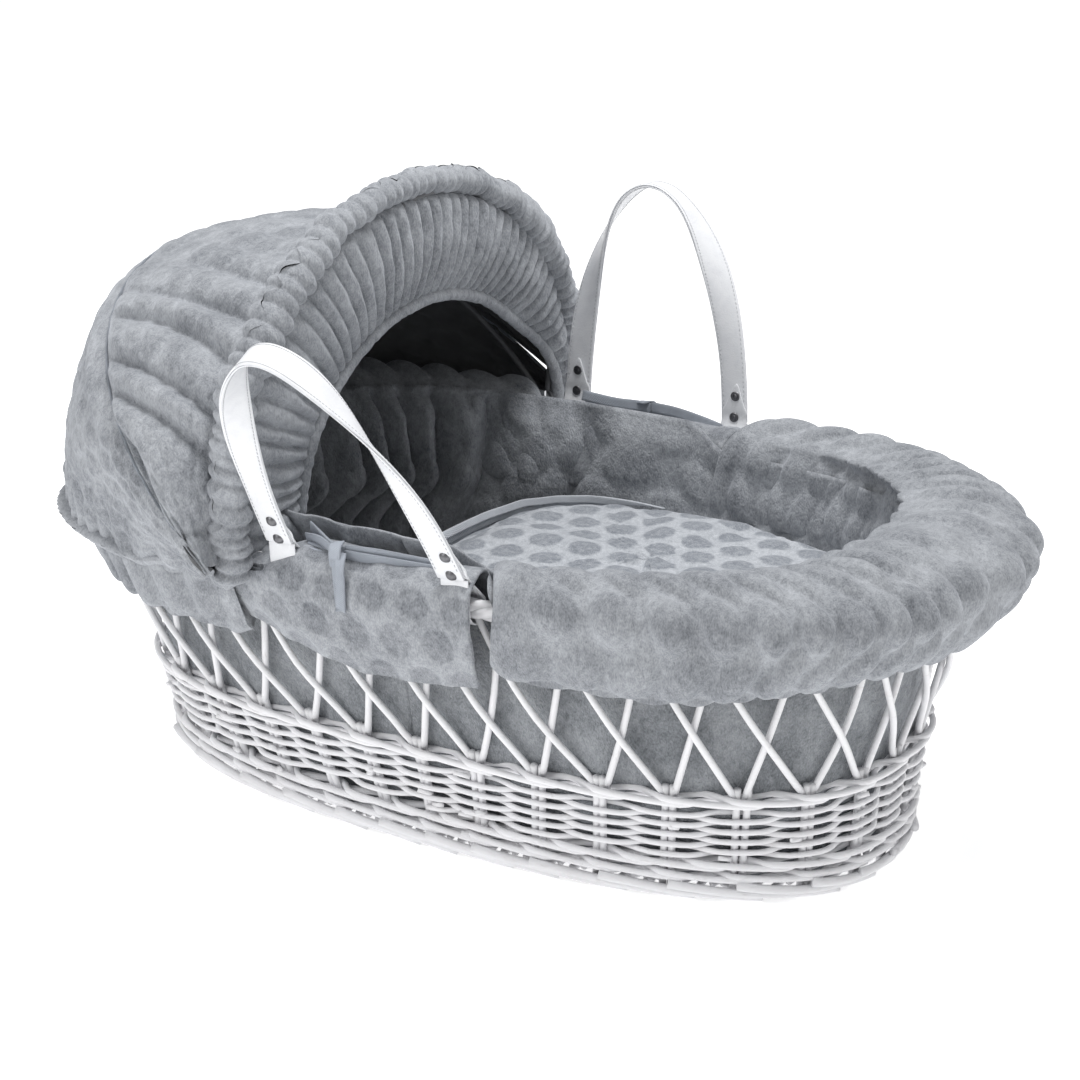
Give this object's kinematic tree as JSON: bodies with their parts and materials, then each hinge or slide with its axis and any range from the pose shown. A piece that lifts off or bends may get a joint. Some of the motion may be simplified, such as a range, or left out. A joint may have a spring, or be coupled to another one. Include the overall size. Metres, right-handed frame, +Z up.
{
  "type": "moses basket",
  "caption": "White wicker moses basket with padded fleece liner, folding gathered hood, two leather carrying handles, mattress and quilted coverlet.",
  "frame": {"origin": "centre of the base, on the surface the basket stands on", "axes": "+Z up, +X towards the foot end, -Y the near side; the hood is at -X"},
  "size_m": [0.8629, 0.607, 0.5345],
  "materials": {
    "white_wicker": "white painted willow rods",
    "fleece": "short pile fleece with embossed ovals",
    "gathered_fleece": "gathered fleece",
    "tape": "woven cotton tape",
    "mattress_cloth": "white cotton jersey",
    "foam": "open foam",
    "white_leather": "smooth white bonded leather",
    "dark_nickel": "polished dark nickel",
    "hoop_wire": "galvanised spring wire"
  },
  "bodies": {
    "basket": {"base_floor": "white_wicker", "base_sticks": "white_wicker", "foot_border": "white_wicker", "stakes": "white_wicker", "weave_outer": "white_wicker", "weave_inner": "white_wicker", "top_wale": "white_wicker", "lattice_outer": "white_wicker", "lattice_inner": "white_wicker", "rim_border": "white_wicker", "liner_wall": "fleece", "bumper_foot": "fleece", "bumper_head": "fleece", "near_flap": "fleece", "far_flap": "fleece", "near_flap_binding": "tape", "far_flap_binding": "tape", "near_tie": "tape", "far_tie": "tape", "mattress_core": "foam", "mattress_cover": "mattress_cloth", "coverlet": "fleece", "coverlet_hem": "tape", "hood_brackets": "hoop_wire", "hood_pins": "hoop_wire", "hood_back_panel": "fleece", "hood_hem": "tape"},
    "hood_rear": {"rear_hoop": "hoop_wire", "hood_seam_piping": "tape", "hood_top_panel": "fleece"},
    "hood_front": {"front_hoop": "hoop_wire", "hood_ruffle": "gathered_fleece", "hood_frill": "gathered_fleece", "hood_frill_binding": "gathered_fleece"},
    "near_handle": {"near_handle_leather": "white_leather", "near_handle_lining": "white_leather", "near_handle_ends": "white_leather", "near_handle_rivets": "dark_nickel"},
    "far_handle": {"far_handle_leather": "white_leather", "far_handle_lining": "white_leather", "far_handle_ends": "white_leather", "far_handle_rivets": "dark_nickel"}
  },
  "joints": [
    {"name": "hood_fold", "type": "hinge", "parent": "basket", "child": "hood_rear", "pos_m": [-0.137, 0, 0.262], "axis": [0, -1, 0], "range_deg": [0, 35], "deforming": ["hood_back_panel"]},
    {"name": "hood_front_fold", "type": "hinge", "parent": "hood_rear", "child": "hood_front", "pos_m": [-0.137, 0, 0.262], "axis": [0, -1, 0], "range_deg": [0, 38], "deforming": ["hood_top_panel"]},
    {"name": "near_handle_swing", "type": "hinge", "parent": "basket", "child": "near_handle", "pos_m": [-0.007, -0.2208, 0.246], "axis": [1, 0, 0], "range_deg": [-84, 34]},
    {"name": "far_handle_swing", "type": "hinge", "parent": "basket", "child": "far_handle", "pos_m": [-0.007, 0.2208, 0.246], "axis": [1, 0, 0], "range_deg": [-55, 63]}
  ],
  "couplings": [
    {"joint": "hood_front_fold", "follows": "hood_fold", "ratio": 1.0857}
  ]
}
